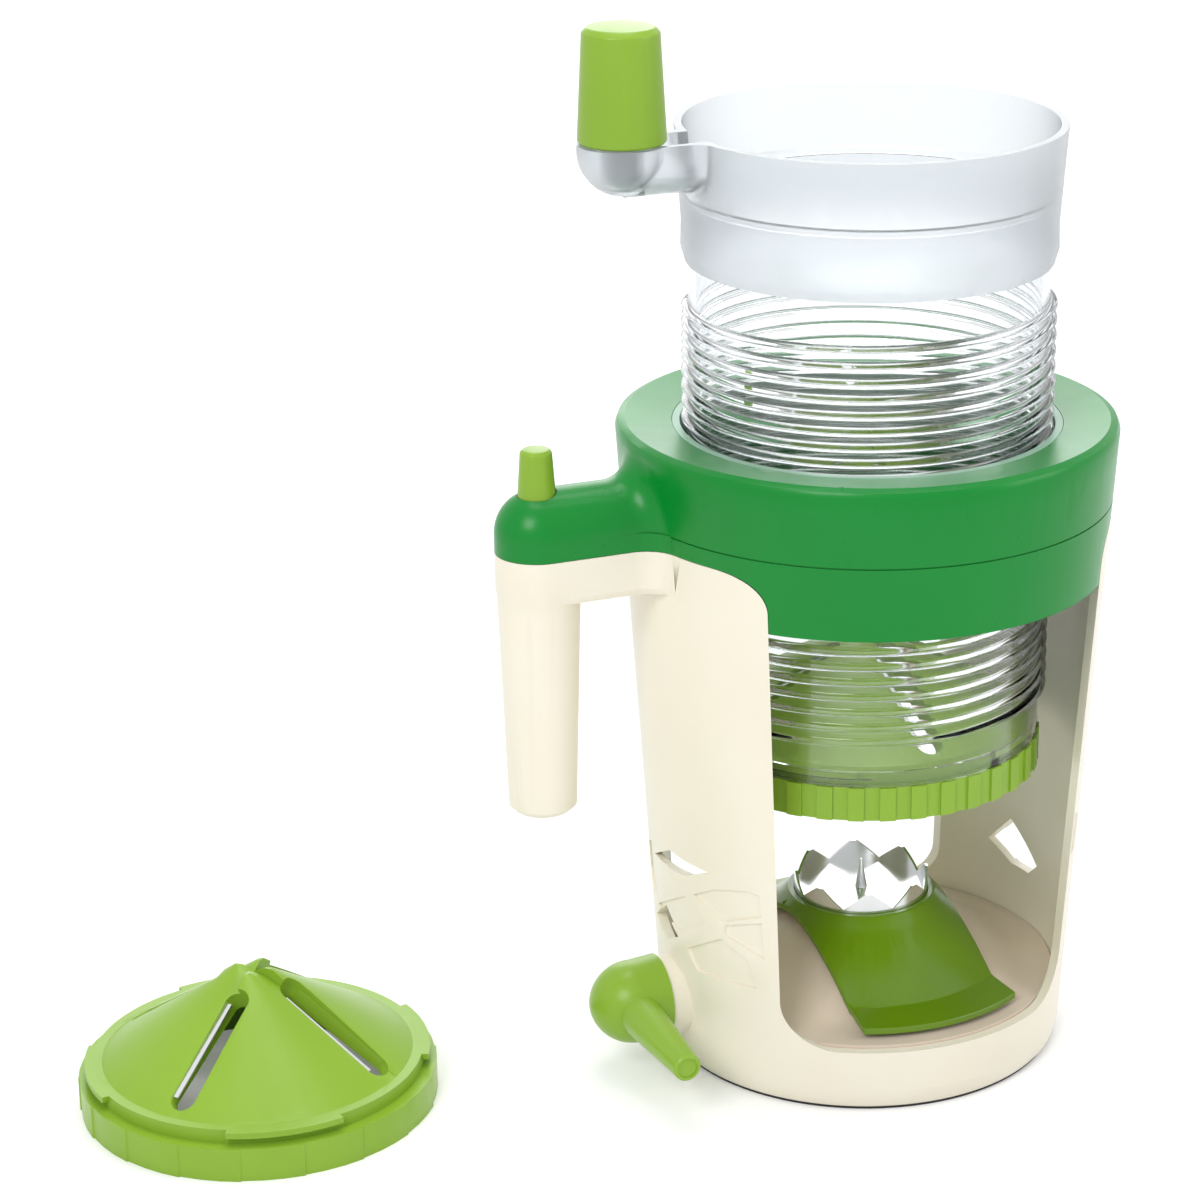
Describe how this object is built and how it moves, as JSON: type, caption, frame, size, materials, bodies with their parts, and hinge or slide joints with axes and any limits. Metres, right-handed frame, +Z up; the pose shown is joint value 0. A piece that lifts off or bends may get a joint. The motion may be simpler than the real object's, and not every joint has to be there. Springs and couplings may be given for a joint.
{
  "type": "upright crank spiral cutter",
  "caption": "Upright hand-cranked spiral vegetable cutter: windowed stand with suction foot, threaded drum fed through a collar, crank with knob, lift-off holder and exchangeable cutter discs.",
  "frame": {"origin": "centre of the stand's foot, on the table surface", "axes": "+Z up along the drum's axis, the handle and crank point to -X, the feed window in front faces -Y"},
  "size_m": [0.3342, 0.1644, 0.3392],
  "materials": {
    "cream_shell": "glossy moulded plastic, cream",
    "cream_floor": "satin moulded plastic, warm cream",
    "inner_cream": "plain moulded plastic",
    "screw_steel": "zinc-plated steel",
    "black_rubber": "smooth black rubber",
    "lime": "glossy moulded plastic, lime green",
    "lime_clear": "glossy moulded plastic, lime green",
    "blade_steel": "polished stainless steel",
    "green_shell": "glossy moulded plastic, green",
    "liner": "low-friction plastic, pale",
    "frosted": "frosted clear plastic",
    "spring_steel": "bright spring wire"
  },
  "bodies": {
    "stand": {"stand_housing": "cream_shell", "base_floor": "cream_floor", "base_plate": "inner_cream", "base_screws": "screw_steel", "suction_cup": "black_rubber", "collar_upper_shell": "green_shell", "collar_lower_shell": "green_shell", "collar_screws": "screw_steel", "button_spring": "spring_steel"},
    "ring": {"slip_ring": "liner"},
    "drum": {"drum_tube": "frosted", "crank_collar": "frosted", "knob_spindle": "screw_steel"},
    "knob": {"crank_knob": "lime"},
    "cutter": {"fitted_cutter": "lime", "fitted_blades": "blade_steel"},
    "lever": {"suction_lever": "lime", "lever_shaft": "screw_steel"},
    "stem": {"suction_stem": "inner_cream"},
    "button": {"release_button": "lime"},
    "latch": {"thread_latch": "inner_cream"},
    "holder": {"holder_plate": "lime_clear", "spike_crown": "blade_steel"},
    "spare": {"spare_cutter": "lime", "spare_blades": "blade_steel"}
  },
  "joints": [
    {"name": "drum_turn", "type": "hinge", "parent": "stand", "child": "ring", "pos_m": [0, 0, 0.199], "axis": [0, 0, 1], "range_deg": [-3024, 4176]},
    {"name": "drum_feed", "type": "slide", "parent": "ring", "child": "drum", "axis": [0, 0, 1], "range_m": [-0.0421, 0.0581]},
    {"name": "knob_spin", "type": "hinge", "parent": "drum", "child": "knob", "pos_m": [-0.0815, 0, 0.32], "axis": [0, 0, 1], "continuous": true},
    {"name": "cutter_twist", "type": "hinge", "parent": "drum", "child": "cutter", "pos_m": [0, 0, 0.1076], "axis": [0, 0, 1], "range_deg": [-43, 0]},
    {"name": "lever_turn", "type": "hinge", "parent": "stand", "child": "lever", "pos_m": [-0.0722, 0, 0.0225], "axis": [-1, 0, 0], "range_deg": [0, 90]},
    {"name": "stem_lift", "type": "slide", "parent": "stand", "child": "stem", "axis": [0, 0, 1], "range_m": [0, 0.0041]},
    {"name": "button_press", "type": "slide", "parent": "stand", "child": "button", "axis": [0, 0, -1], "range_m": [0, 0.005], "stiffness_N_per_m": 400, "springref_m": -0.002, "deforming": ["button_spring"]},
    {"name": "latch_draw", "type": "slide", "parent": "stand", "child": "latch", "axis": [-1, 0, 0], "range_m": [0, 0.0026]},
    {"name": "holder_lift", "type": "slide", "parent": "stand", "child": "holder", "axis": [0, 0, 1], "range_m": [0, 0.03]},
    {"name": "spare_lift", "type": "slide", "parent": "stand", "child": "spare", "axis": [0, 0, 1], "range_m": [0, 0.08]}
  ],
  "couplings": [
    {"joint": "drum_feed", "follows": "drum_turn", "m_per_rad": 0.00079577},
    {"joint": "stem_lift", "follows": "lever_turn", "m_per_rad": 0.0025465},
    {"joint": "latch_draw", "follows": "button_press", "ratio": 0.5}
  ]
}
